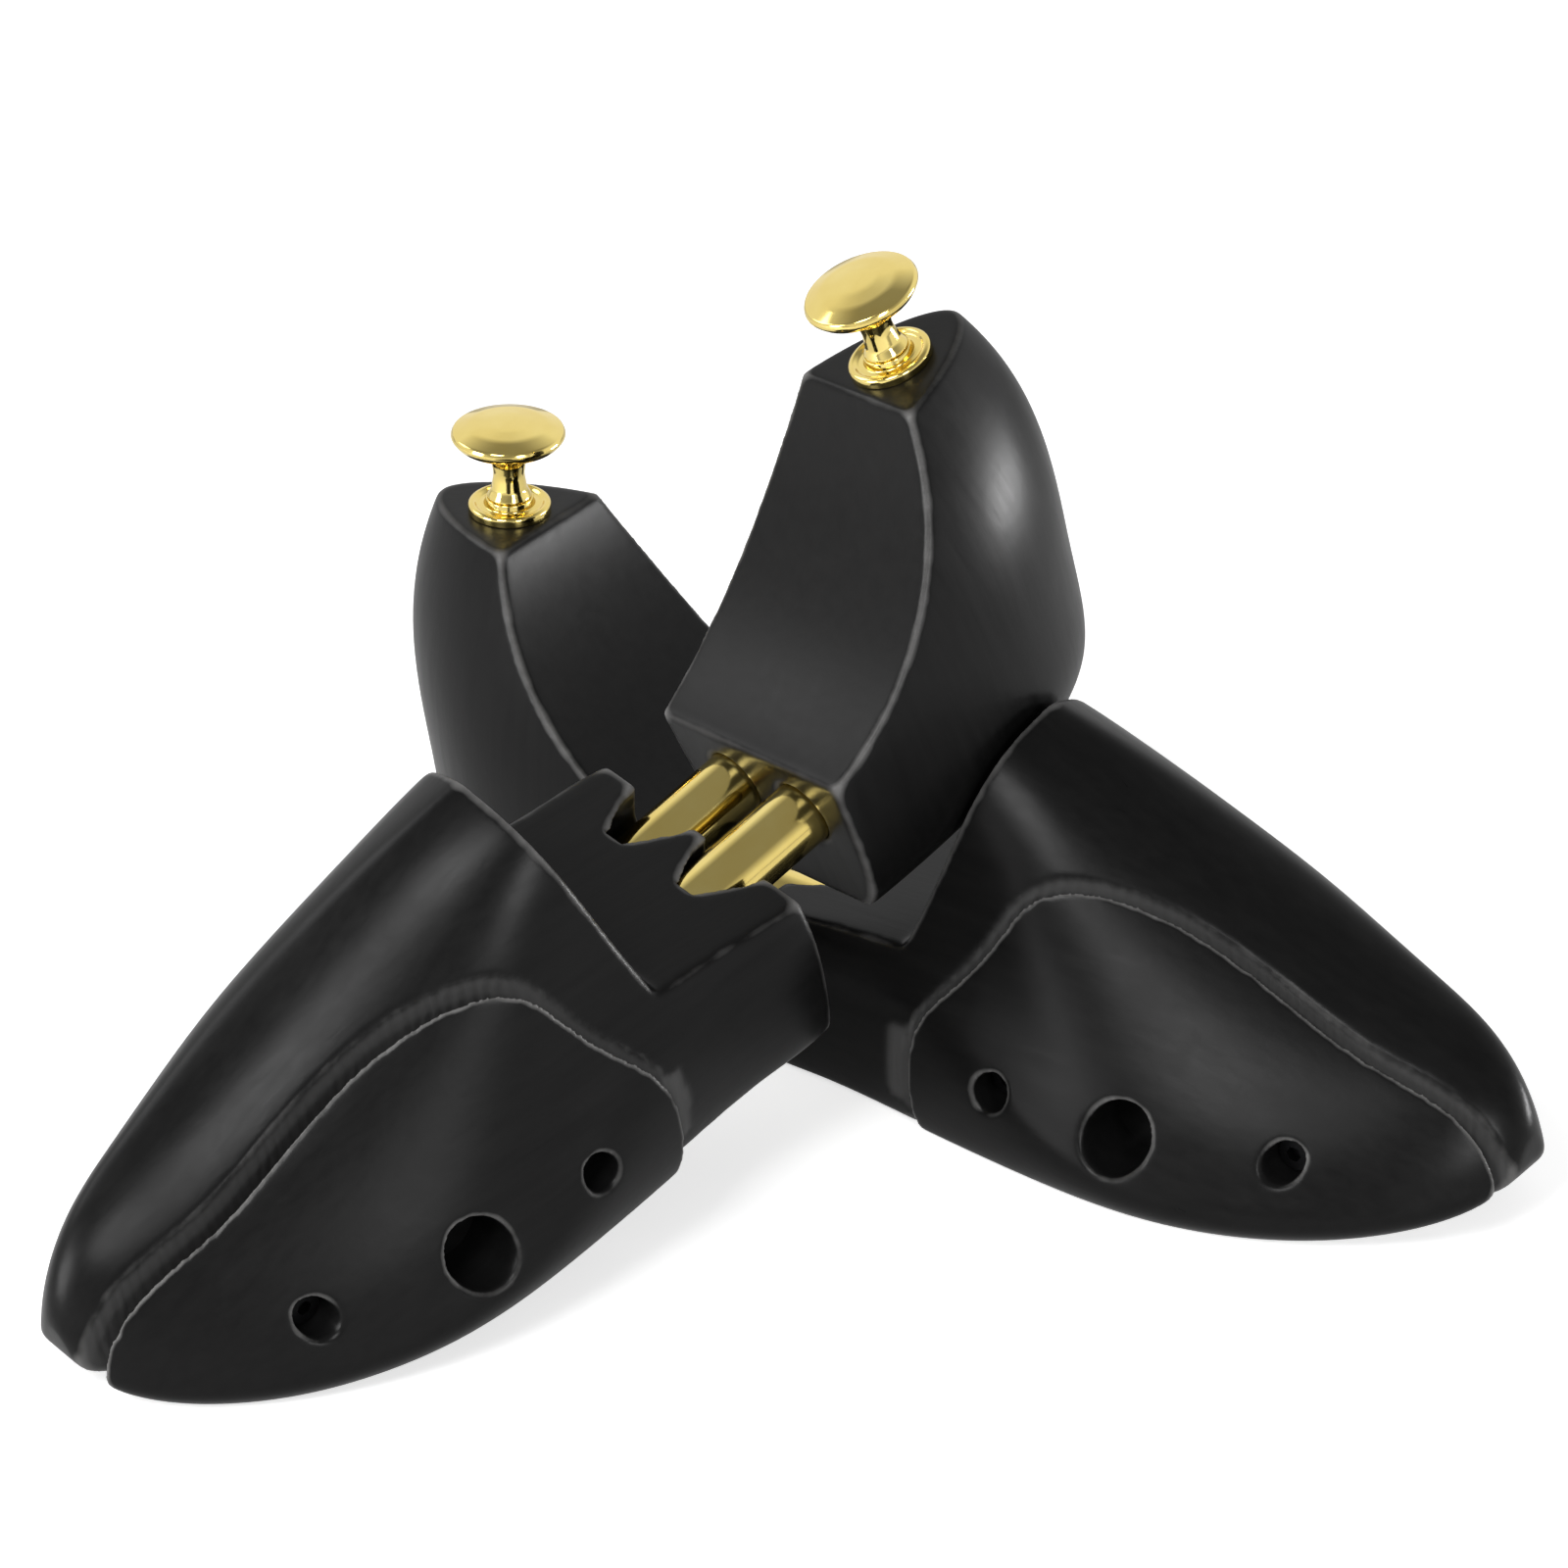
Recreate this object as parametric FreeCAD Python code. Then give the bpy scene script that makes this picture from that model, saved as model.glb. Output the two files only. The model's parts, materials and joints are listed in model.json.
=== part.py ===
import FreeCAD, Part
import math
import os

# A pair of shoe trees laid crossed, in millimetres, +Z up, standing on z = 0.
# Each tree is modelled along +X with the back of its heel near x = 0, its toe forward and its split-off wing
# towards +Y, which is a left tree. The right tree is its mirror image.

# Whole tree
tree_length = 286.0
tube_axis_height = 23.2
tube_spacing = 22.6
overrun = 6.0

# Forefoot block
forefoot_rear_x = 115.5
instep_height = 85.0
outer_half_width = 45.5
inner_half_width = 41.0
ridge_offset = 12.0
toe_rise = 15.5
platform_rear_height = 34.7
platform_slope_deg = 4.5
wall_foot_x = 154.0
wall_lean_deg = 15.5
bore_diameter = 21.8
bore_end_x = 174.0
bore_middle_x = 149.0
bore_rise_deg = 3.5
notch_diameter = 20.0
notch_rise_deg = 22.0
notch_depth = 11.5

# Cross-sections from the rear of the forefoot to the toe: place, ridge height, widths, ridge, sole, bell
station_shares = (0.0, 0.114, 0.231, 0.319, 0.425, 0.53, 0.637, 0.737, 0.824, 0.896, 0.948, 0.981, 0.998)
top_shares = (1.035, 1.035, 1.03, 0.984, 0.893, 0.782, 0.677, 0.589, 0.522, 0.466, 0.403, 0.333, 0.26)
outer_shares = (0.785, 0.815, 0.855, 0.9, 0.95, 0.972, 0.93, 0.825, 0.68, 0.512, 0.348, 0.2, 0.068)
inner_shares = (0.83, 0.86, 0.9, 0.945, 0.985, 1.0, 0.95, 0.82, 0.675, 0.54, 0.41, 0.295, 0.19)
ridge_shares = (0.0, 0.0, 0.04, 0.16, 0.46, 0.8, 1.0, 1.0, 0.9, 0.74, 0.53, 0.34, 0.2)
sole_shares = (-0.08, -0.08, -0.08, -0.08, -0.08, -0.08, -0.08, -0.02, 0.10, 0.28, 0.49, 0.72, 1.0)
bell_shares = (1.0, 1.0, 1.0, 0.85, 0.45, 0.12, 0.0, 0.0, 0.0, 0.0, 0.0, 0.0, 0.0)
# One side of a section from ridge to sole: share of the half width, share of the height
full_side_shares = ((0.20, 0.965), (0.40, 0.865), (0.58, 0.725), (0.74, 0.55), (0.88, 0.36),
                    (0.965, 0.21), (1.0, 0.12), (0.945, 0.025), (0.78, 0.0), (0.41, 0.0))
bell_side_shares = ((0.16, 0.98), (0.33, 0.945), (0.47, 0.88), (0.585, 0.765), (0.69, 0.59),
                    (0.86, 0.42), (0.985, 0.28), (0.98, 0.06), (0.82, 0.0), (0.42, 0.0))

# Saw cut between block and wing, seen from above: share of the forefoot length, share of the outer half width
cut_shares = ((1.048, 0.104), (0.988, 0.108), (0.9, 0.146), (0.807, 0.198), (0.719, 0.207), (0.643, 0.216),
              (0.578, 0.245), (0.52, 0.30), (0.46, 0.386), (0.404, 0.49), (0.352, 0.612), (0.302, 0.748),
              (0.255, 0.894), (0.22, 1.035), (0.195, 1.18))
kerf_toe = 1.6
kerf_rear = 0.5
wing_opening = {"right": 1.4, "left": 3.6}

# Wing screws and spring
screw_place_share = {"rear": 0.396, "front": 0.7685}
screw_height = {"rear": 17.6, "front": 17.8}
screw_web = {"rear": 7.0, "front": 10.5}
screw_hole_diameter = 8.0
screw_head_diameter = 7.2
screw_head_height = 3.6
screw_shank_diameter = 4.2
screw_shank_clearance = 0.3
screw_grip = 17.0
hex_key_width = 3.0
hex_key_depth = 2.0
spring_hole_place_share = 0.5717
spring_hole_height = 16.6
spring_hole_diameter = 14.4
spring_pocket_depth = 8.0
plug_thickness = 6.0
plug_web = 9.0
wing_spring_wire = 1.4
wing_spring_mean_diameter = 10.4
wing_spring_turns = 6
seat_clearance = 0.2
points_per_turn = 24

# Heel block
heel_height = 87.5
heel_front_x = 96.0
heel_half_width = 29.5
heel_back_x = 3.0
heel_back_sweep = 6.8
heel_top_front_x = 39.0
heel_lip_height = 36.0
heel_front_hollow = 8.5
# Level outlines of the heel from sole to top: height, back edge, half width
level_shares = (0.0, 0.045, 0.14, 0.38, 0.66, 0.86, 1.0)
level_back_shares = (2.1, 1.65, 1.2, 0.6, 0.1, 0.4, 1.0)
level_width_shares = (0.70, 0.825, 0.93, 1.01, 0.99, 0.85, 0.70)
# One side of a level outline from the front to the back: share of its length, share of its half width
heel_side_shares = ((1.0, 0.95), (0.80, 1.0), (0.55, 0.975), (0.30, 0.835), (0.12, 0.545), (0.03, 0.26))

# Tubes and heel springs
tube_diameter = 14.0
tube_wall = 0.9
tube_rear_x = 56.0
tube_front_x = 153.0
seat_thickness = 3.0
heel_spring_wire = 1.3
heel_spring_mean_diameter = 9.4
heel_spring_turns = 20
spring_end_clearance = 0.55
anchor_neck_diameter = 3.4
anchor_head_diameter = 6.0
anchor_head_height = 1.6
anchor_neck_length = 3.4
anchor_grip_share = 0.378

# Knob
knob_x = 28.0
rosette_diameter = 18.0
rosette_height = 3.4
rosette_step_diameter = 13.6
rosette_step_height = 1.5
knob_neck_foot_diameter = 10.2
knob_waist_diameter = 6.8
knob_collar_diameter = 9.6
knob_neck_height = 11.0
knob_cap_diameter = 25.0
knob_cap_flare = 1.7
knob_rim_thickness = 2.6
knob_dome_rise = 2.8
stud_diameter = 5.0
stud_depth = 20.0
stud_in_knob = 9.0
stud_clearance = 0.1

# How the pair lies
right_yaw_deg = -36.5
left_yaw_deg = -141.6
left_pitch_deg = 14.6
left_roll_deg = -5.0
left_heel_twist_deg = 12.0
left_heel_tilt_deg = 6.0
left_heel_swing_deg = 2.3
left_x = 155.2
left_y = -46.9
left_reach = 16.0
left_reach_halvings = 11
rest_clearance = 0.6

forefoot_length = tree_length - forefoot_rear_x
screw_x = {place: forefoot_rear_x + share * forefoot_length for place, share in screw_place_share.items()}
spring_hole_x = forefoot_rear_x + spring_hole_place_share * forefoot_length
anchor_grip = anchor_grip_share * (spring_hole_x - spring_hole_diameter / 2 - bore_end_x)
tube_places = {"outer": tube_spacing / 2, "inner": -tube_spacing / 2}
wood_names = ("forefoot_block", "toe_wing", "heel_block")
along = FreeCAD.Vector(1, 0, 0)
across = FreeCAD.Vector(0, 1, 0)
upward = FreeCAD.Vector(0, 0, 1)


def point(x, y, z):
    return FreeCAD.Vector(x, y, z)


def polygon_prism(corners, direction):
    """A flat polygon pushed along a direction."""
    return Part.Face(Part.makePolygon(list(corners) + [corners[0]])).extrude(direction)


def chord_parameters(points):
    """Running length along a row of points, as curve parameters."""
    values = [0.0]
    for before, after in zip(points, points[1:]):
        values.append(values[-1] + (after - before).Length)
    return values


def station_points(index):
    """Points round one cross-section of the whole forefoot, from the ridge over the outer side."""
    x = forefoot_rear_x + station_shares[index] * forefoot_length
    top = top_shares[index] * instep_height
    sole = sole_shares[index] * toe_rise
    ridge = -ridge_shares[index] * ridge_offset
    outer = outer_shares[index] * outer_half_width - ridge
    inner = inner_shares[index] * inner_half_width + ridge
    bell = bell_shares[index]
    side = []
    for full, belled in zip(full_side_shares, bell_side_shares):
        wide = full[0] + bell * (belled[0] - full[0])
        high = full[1] + bell * (belled[1] - full[1])
        side.append((wide, sole + high * (top - sole)))
    points = [point(x, ridge, top)]
    points += [point(x, ridge + wide * outer, z) for wide, z in side]
    points.append(point(x, ridge, sole))
    points += [point(x, ridge - wide * inner, z) for wide, z in reversed(side)]
    return points


def forefoot_form():
    """The forefoot before it is sawn: a loft with a flat sole, a platform and a rear wall."""
    middle = station_points(len(station_shares) // 2)
    parameters = chord_parameters(middle + [middle[0]])
    wires = []
    for index in range(len(station_shares)):
        curve = Part.BSplineCurve()
        curve.interpolate(Points=station_points(index), PeriodicFlag=True, Parameters=parameters)
        wires.append(Part.Wire([curve.toShape()]))
    form = Part.makeLoft(wires, True, False)
    wide = outer_half_width + overrun
    below = Part.makeBox(forefoot_length + overrun * 2, wide * 2, overrun,
                         point(forefoot_rear_x - overrun, -wide, -overrun))
    slope = math.tan(math.radians(platform_slope_deg))
    lean = math.tan(math.radians(wall_lean_deg))
    foot_height = platform_rear_height + slope * (wall_foot_x - forefoot_rear_x)
    over_top = instep_height + overrun
    corners = [point(forefoot_rear_x - overrun, -wide, platform_rear_height - slope * overrun),
               point(wall_foot_x, -wide, foot_height),
               point(wall_foot_x + lean * (over_top - foot_height), -wide, over_top),
               point(forefoot_rear_x - overrun, -wide, over_top)]
    step = polygon_prism(corners, across * (2 * wide))
    return form.cut(below).cut(step)


def cut_points(kerf_scale):
    """Points of the saw cut from above; the wing's side of it lies further out by the kerf."""
    points = []
    for length_share, width_share in cut_shares:
        kerf = kerf_rear + (kerf_toe - kerf_rear) * min(length_share, 1.0)
        y = width_share * outer_half_width + kerf_scale * kerf
        points.append(point(forefoot_rear_x + length_share * forefoot_length, y, 0))
    return points


def wing_region(kerf_scale):
    """Everything on the wing's side of the saw cut, as a tall body."""
    points = cut_points(kerf_scale)
    curve = Part.BSplineCurve()
    curve.interpolate(points)
    far = outer_half_width + 2 * overrun
    first, last = points[0], points[-1]
    outline = Part.makePolygon([last, point(last.x, far, 0), point(first.x, far, 0), first])
    face = Part.Face(Part.Wire([curve.toShape()] + outline.Edges))
    face.translate(upward * -overrun)
    return face.extrude(upward * (instep_height + 2 * overrun))


def cut_line_y(x, kerf_scale):
    """Where the saw cut lies at a place along the tree."""
    points = sorted(cut_points(kerf_scale), key=lambda p: p.x)
    for before, after in zip(points, points[1:]):
        if before.x <= x <= after.x:
            return before.y + (after.y - before.y) * (x - before.x) / (after.x - before.x)


def lateral_cylinder(diameter, x, z, y_start, y_end):
    return Part.makeCylinder(diameter / 2, y_end - y_start, point(x, y_start, z), across)


def tube_cylinder(diameter, y, x_start, x_end):
    return Part.makeCylinder(diameter / 2, x_end - x_start, point(x_start, y, tube_axis_height), along)


def tube_bore(y):
    """A loose bore in the forefoot, which rises towards the heel."""
    bore = tube_cylinder(bore_diameter, y, forefoot_rear_x - 2 * overrun, bore_end_x)
    bore.rotate(point(bore_middle_x, y, tube_axis_height), across, bore_rise_deg)
    return bore


def bore_mouth(y):
    """A steeper round notch where a tube leaves the platform."""
    rise = math.radians(notch_rise_deg)
    height = platform_rear_height + math.tan(math.radians(platform_slope_deg)) * notch_depth
    tip = point(forefoot_rear_x + notch_depth, y, height)
    rearward = point(-math.cos(rise), 0, math.sin(rise))
    downward = point(-math.sin(rise), 0, -math.cos(rise))
    return Part.makeCylinder(notch_diameter / 2, 2 * notch_depth, tip + downward * (notch_diameter / 2), rearward)


def screw_seat_y(place, opening):
    """Where the wing rests against the underside of a screw's head."""
    return cut_line_y(screw_x[place], 1) + opening + screw_web[place]


def plug_inner_y(opening):
    return cut_line_y(spring_hole_x, 1) + opening + plug_web


def pocket_floor_y():
    return cut_line_y(spring_hole_x, 0) - spring_pocket_depth


def wing_screw(place, opening):
    """A socket-head shoulder screw that the wing slides on. Its depth sets the wing's opening."""
    x, z, seat = screw_x[place], screw_height[place], screw_seat_y(place, opening)
    head = lateral_cylinder(screw_head_diameter, x, z, seat + seat_clearance, seat + screw_head_height)
    tip = cut_line_y(x, 0) - screw_grip
    shank = lateral_cylinder(screw_shank_diameter, x, z, tip, seat + screw_head_height / 2)
    corner_radius = hex_key_width / math.sqrt(3)
    top = seat + screw_head_height
    angles = [math.radians(60 * step) for step in range(6)]
    corners = [point(x + corner_radius * math.cos(a), top, z + corner_radius * math.sin(a)) for a in angles]
    socket = polygon_prism(corners, across * -hex_key_depth)
    return head.fuse(shank).cut(socket)


def wing_spring_plug(opening):
    inner = plug_inner_y(opening)
    outer = inner + plug_thickness
    return lateral_cylinder(spring_hole_diameter, spring_hole_x, spring_hole_height, inner, outer)


def spring_anchor(y):
    """A pan-head screw at the bottom of a bore, round whose neck a heel spring is hooked."""
    head_x = bore_end_x - anchor_neck_length - anchor_head_height
    head = tube_cylinder(anchor_head_diameter, y, head_x, head_x + anchor_head_height)
    neck = tube_cylinder(anchor_neck_diameter, y, head_x + anchor_head_height / 2, bore_end_x + anchor_grip)
    return head.fuse(neck)


def forefoot_block(form, anchors, opening):
    block = form.cut(wing_region(0))
    for y in tube_places.values():
        block = block.cut(tube_bore(y)).cut(bore_mouth(y))
    for anchor in anchors:
        block = block.cut(anchor)
    for place in screw_x:
        block = block.cut(wing_screw(place, opening))
    pocket = lateral_cylinder(spring_hole_diameter, spring_hole_x, spring_hole_height, pocket_floor_y(),
                              outer_half_width)
    return block.cut(pocket)


def toe_wing(form, opening):
    wing = form.common(wing_region(1))
    wing.translate(across * opening)
    far = outer_half_width + opening + overrun
    for place, x in screw_x.items():
        z, seat = screw_height[place], screw_seat_y(place, opening)
        wing = wing.cut(lateral_cylinder(screw_hole_diameter, x, z, seat, far))
        clearance_diameter = screw_shank_diameter + 2 * screw_shank_clearance
        wing = wing.cut(lateral_cylinder(clearance_diameter, x, z, 0, seat))
    return wing.cut(lateral_cylinder(spring_hole_diameter, spring_hole_x, spring_hole_height, 0, far))


def arc_middle(start, tangent, end):
    """The middle point of the arc that leaves start along tangent and reaches end."""
    chord = end - start
    direction = FreeCAD.Vector(chord).normalize()
    bulge = tangent - direction * tangent.dot(direction)
    angle = math.atan2(bulge.Length, tangent.dot(direction))
    return (start + end) * 0.5 + bulge.normalize() * (chord.Length / 2 * math.tan(angle / 2))


def coil_spring(wire, mean_diameter, turns, start, axis, side, length):
    """One unbroken round wire wound about an axis, made of two arcs for each quarter turn."""
    third = axis.cross(side)
    radius = mean_diameter / 2
    pitch = (length - wire) / turns
    steps = turns * 4

    def helix(step):
        angle = step * math.pi / 2
        outward = side * math.cos(angle) + third * math.sin(angle)
        forward = third * math.cos(angle) - side * math.sin(angle)
        place = start + axis * (wire / 2 + pitch * step / 4) + outward * radius
        tangent = (forward * (radius * math.pi / 2) + axis * (pitch / 4)).normalize()
        return place, tangent

    edges = []
    for step in range(steps):
        begin, leave = helix(step)
        end, arrive = helix(step + 1)
        span, both = end - begin, leave + arrive
        turn = 2 * (1 - leave.dot(arrive))
        reach = (math.sqrt(span.dot(both) ** 2 + turn * span.dot(span)) - span.dot(both)) / turn
        joint = (begin + end + (leave - arrive) * reach) * 0.5
        edges.append(Part.Arc(begin, arc_middle(begin, leave, joint), joint).toShape())
        edges.append(Part.Arc(joint, arc_middle(end, arrive * -1, joint), end).toShape())
    first, tangent = helix(0)
    ring = Part.Wire([Part.Circle(first, tangent, wire / 2).toShape()])
    path = Part.Wire(edges)
    return path.makePipeShell([ring], True, False), least_gap(path, turns) - wire


def least_gap(path, turns):
    """The least distance, measured on points, between stretches of a coil half a turn or more apart."""
    half_turn = points_per_turn // 2
    points = path.discretize(Number=turns * points_per_turn + 1)
    return min((later - earlier).Length for index, earlier in enumerate(points)
               for later in points[index + half_turn:])


def heel_level(index):
    """One level outline of the heel, closed by a straight line in front of the block."""
    height = level_shares[index] * heel_height
    back = heel_back_x + level_back_shares[index] * heel_back_sweep
    half_width = level_width_shares[index] * heel_half_width
    length = heel_front_x + overrun - back
    side = [(back + share * length, width * half_width) for share, width in heel_side_shares]
    points = [point(x, y, height) for x, y in side]
    points.append(point(back, 0, height))
    points += [point(x, -y, height) for x, y in reversed(side)]
    return points


def heel_block(stud):
    middle = heel_level(len(level_shares) // 2)
    parameters = chord_parameters(middle)
    wires = []
    for index in range(len(level_shares)):
        points = heel_level(index)
        curve = Part.BSplineCurve()
        curve.interpolate(Points=points, Parameters=parameters)
        wires.append(Part.Wire([curve.toShape(), Part.makeLine(points[-1], points[0])]))
    block = Part.makeLoft(wires, True, False)
    wide = heel_half_width + overrun
    top = point(heel_top_front_x, -wide, heel_height)
    lip = point(heel_front_x, -wide, heel_lip_height)
    chord = (lip - top).normalize()
    hollow = (top + lip) * 0.5 - chord.cross(across) * heel_front_hollow
    corners = [lip, point(heel_front_x, -wide, -overrun), point(heel_front_x + 2 * overrun, -wide, -overrun),
               point(heel_front_x + 2 * overrun, -wide, heel_height + overrun),
               point(heel_top_front_x, -wide, heel_height + overrun), top]
    outline = Part.Wire([Part.Arc(top, hollow, lip).toShape()] + Part.makePolygon(corners).Edges)
    block = block.cut(Part.Face(outline).extrude(across * (2 * wide)))
    for y in tube_places.values():
        block = block.cut(tube_cylinder(tube_diameter, y, tube_rear_x, heel_front_x + overrun))
    return block.cut(stud)


def brass_tube(y):
    inner_diameter = tube_diameter - 2 * tube_wall
    outside = tube_cylinder(tube_diameter, y, tube_rear_x, tube_front_x)
    return outside.cut(tube_cylinder(inner_diameter, y, tube_rear_x - overrun, tube_front_x + overrun))


def spring_seat(y):
    inner_diameter = tube_diameter - 2 * tube_wall
    return tube_cylinder(inner_diameter, y, tube_rear_x, tube_rear_x + seat_thickness)


def turned(outline):
    """A closed outline of edges in the knob's plane, turned about the knob's axis."""
    return Part.Face(Part.Wire(outline)).revolve(point(knob_x, 0, 0), upward, 360)


def knob_point(radius, height):
    return point(knob_x + radius, 0, heel_height + height)


def line(start, end):
    return Part.makeLine(start, end)


def arc(start, middle, end):
    return Part.Arc(start, middle, end).toShape()


def knob_stud():
    return Part.makeCylinder(stud_diameter / 2, stud_depth + rosette_height + stud_in_knob,
                             knob_point(0, -stud_depth))


def knob_rosette():
    """A stepped brass ring with a rounded shoulder."""
    rim, step = rosette_diameter / 2, rosette_step_diameter / 2
    hole = stud_diameter / 2 + stud_clearance
    shoulder = (rim - step) / 2
    edges = [line(knob_point(hole, 0), knob_point(rim, 0)),
             line(knob_point(rim, 0), knob_point(rim, rosette_step_height - shoulder / 2)),
             arc(knob_point(rim, rosette_step_height - shoulder / 2),
                 knob_point(rim - shoulder / 4, rosette_step_height - shoulder / 8),
                 knob_point(rim - shoulder, rosette_step_height)),
             line(knob_point(rim - shoulder, rosette_step_height), knob_point(step, rosette_step_height)),
             arc(knob_point(step, rosette_step_height),
                 knob_point(step - shoulder / 4, (rosette_step_height + rosette_height) / 2),
                 knob_point(step - shoulder, rosette_height)),
             line(knob_point(step - shoulder, rosette_height), knob_point(hole, rosette_height)),
             line(knob_point(hole, rosette_height), knob_point(hole, 0))]
    return turned(edges)


def knob():
    """A mushroom knob: waisted neck, flared underside, rounded rim and a shallow dome."""
    foot, waist = knob_neck_foot_diameter / 2, knob_waist_diameter / 2
    collar, cap = knob_collar_diameter / 2, knob_cap_diameter / 2
    low, high = rosette_height, rosette_height + knob_neck_height
    rim_low = high + knob_cap_flare
    rim_middle, rim_high = rim_low + knob_rim_thickness / 2, rim_low + knob_rim_thickness
    edge = cap - knob_rim_thickness / 2
    crown = rim_high + knob_dome_rise
    sphere = (edge ** 2 + knob_dome_rise ** 2) / (2 * knob_dome_rise)
    dome_middle = crown - sphere + math.sqrt(sphere ** 2 - (edge / 2) ** 2)
    edges = [line(knob_point(0, low), knob_point(foot, low)),
             arc(knob_point(foot, low), knob_point(waist, (low + high) / 2), knob_point(collar, high)),
             line(knob_point(collar, high), knob_point(edge, rim_low)),
             arc(knob_point(edge, rim_low), knob_point(cap, rim_middle), knob_point(edge, rim_high)),
             arc(knob_point(edge, rim_high), knob_point(edge / 2, dome_middle), knob_point(0, crown)),
             line(knob_point(0, crown), knob_point(0, low))]
    return turned(edges).cut(knob_stud())


def tree_pieces(opening, twist_deg, tilt_deg, swing_deg):
    """Every piece of one left tree. The heel and what it holds may lie askew in the loose bores."""
    form = forefoot_form()
    pieces = {}

    def twisted(shape):
        turned_shape = shape.copy()
        turned_shape.rotate(point(0, 0, tube_axis_height), along, twist_deg)
        turned_shape.rotate(point(bore_middle_x, 0, tube_axis_height), across, tilt_deg)
        turned_shape.rotate(point(bore_middle_x, 0, tube_axis_height), upward, swing_deg)
        return turned_shape

    anchors = {side: twisted(spring_anchor(y)) for side, y in tube_places.items()}
    pieces["forefoot_block"] = forefoot_block(form, anchors.values(), opening)
    pieces["toe_wing"] = toe_wing(form, opening)
    for place in screw_x:
        pieces["wing_screw_" + place] = wing_screw(place, opening)
    pieces["wing_spring_plug"] = wing_spring_plug(opening)
    floor, seat = pocket_floor_y() + seat_clearance, plug_inner_y(opening) - seat_clearance
    pieces["wing_spring"], wing_gap = coil_spring(
        wing_spring_wire, wing_spring_mean_diameter, wing_spring_turns,
        point(spring_hole_x, floor, spring_hole_height), across, upward, seat - floor)
    pieces["heel_block"] = twisted(heel_block(knob_stud()))
    pieces["knob"] = twisted(knob())
    pieces["knob_rosette"] = twisted(knob_rosette())
    pieces["knob_stud"] = twisted(knob_stud())
    start = tube_rear_x + seat_thickness + seat_clearance
    end = bore_end_x - spring_end_clearance
    for side, y in tube_places.items():
        pieces["spring_anchor_" + side] = anchors[side]
        pieces["tube_" + side] = twisted(brass_tube(y))
        pieces["spring_seat_" + side] = twisted(spring_seat(y))
        spring, heel_gap = coil_spring(heel_spring_wire, heel_spring_mean_diameter, heel_spring_turns,
                                       point(start, y, tube_axis_height), along, upward, end - start)
        pieces["heel_spring_" + side] = twisted(spring)
    print("gap between turns: wing spring %.2f mm, heel springs %.2f mm" % (wing_gap, heel_gap))
    return pieces


def laid(shape, placement):
    shape.Placement = placement.multiply(shape.Placement)
    return shape


def resting(tree, right_wood):
    """How the left tree lies, its toe on the floor and its heel against the right tree's rear wall."""
    rotation = FreeCAD.Rotation(left_yaw_deg, left_pitch_deg, left_roll_deg)
    tipped = FreeCAD.Placement(point(left_x, left_y, 0), rotation)
    lowest = min(laid(tree[name].copy(), tipped).optimalBoundingBox(False, False).ZMin for name in wood_names)
    sideways = rotation.multVec(across)
    sideways = point(sideways.x, sideways.y, 0).normalize()
    clear, touching = -left_reach, left_reach
    for _ in range(left_reach_halvings):
        shift = (clear + touching) / 2
        tipped.Base = point(left_x, left_y, -lowest) + sideways * shift
        gap = laid(tree["heel_block"].copy(), tipped).distToShape(right_wood)[0]
        if gap > rest_clearance:
            clear = shift
        else:
            touching = shift
    tipped.Base = point(left_x, left_y, -lowest) + sideways * clear
    return tipped


def placed_pair():
    """Both trees as they lie, by node name."""
    nodes = {}
    turn = FreeCAD.Placement(point(0, 0, 0), FreeCAD.Rotation(right_yaw_deg, 0, 0))
    for name, shape in tree_pieces(wing_opening["right"], 0, 0, 0).items():
        nodes["right_" + name] = laid(shape.mirror(point(0, 0, 0), across), turn)
    left_tree = tree_pieces(wing_opening["left"], left_heel_twist_deg, left_heel_tilt_deg, left_heel_swing_deg)
    lie = resting(left_tree, nodes["right_forefoot_block"])
    for name, shape in left_tree.items():
        nodes["left_" + name] = laid(shape, lie)
    return nodes


def main():
    os.makedirs("parts", exist_ok=True)
    nodes = placed_pair()
    box = Part.makeCompound(list(nodes.values())).optimalBoundingBox(False, False)
    to_origin = point(-box.Center.x, -box.Center.y, 0)
    print("box %.1f x %.1f x %.1f mm, lowest %.2f" % (box.XLength, box.YLength, box.ZLength, box.ZMin))
    for name, shape in nodes.items():
        shape.translate(to_origin)
        shape.exportStep("parts/" + name + ".step")


main()
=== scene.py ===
import json
import math

import bmesh
import bpy
import numpy as np
from mathutils import Matrix, Vector
from mathutils.bvhtree import BVHTree


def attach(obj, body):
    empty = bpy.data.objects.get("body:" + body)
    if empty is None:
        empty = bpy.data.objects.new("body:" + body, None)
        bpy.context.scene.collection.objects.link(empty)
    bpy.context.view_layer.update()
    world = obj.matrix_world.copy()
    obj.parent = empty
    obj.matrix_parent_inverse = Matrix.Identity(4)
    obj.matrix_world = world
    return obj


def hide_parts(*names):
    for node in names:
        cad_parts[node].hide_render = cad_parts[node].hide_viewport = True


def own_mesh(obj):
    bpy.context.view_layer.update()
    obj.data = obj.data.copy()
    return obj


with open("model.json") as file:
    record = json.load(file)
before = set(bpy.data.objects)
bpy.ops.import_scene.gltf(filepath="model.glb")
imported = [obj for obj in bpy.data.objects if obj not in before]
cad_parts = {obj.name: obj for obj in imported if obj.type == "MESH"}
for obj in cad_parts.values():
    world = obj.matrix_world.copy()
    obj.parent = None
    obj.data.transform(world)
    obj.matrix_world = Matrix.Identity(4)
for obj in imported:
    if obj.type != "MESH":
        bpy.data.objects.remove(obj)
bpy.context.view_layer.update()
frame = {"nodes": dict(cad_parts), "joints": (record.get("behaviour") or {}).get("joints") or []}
nodes = frame["nodes"]
scene = bpy.context.scene
mm = 0.001

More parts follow.
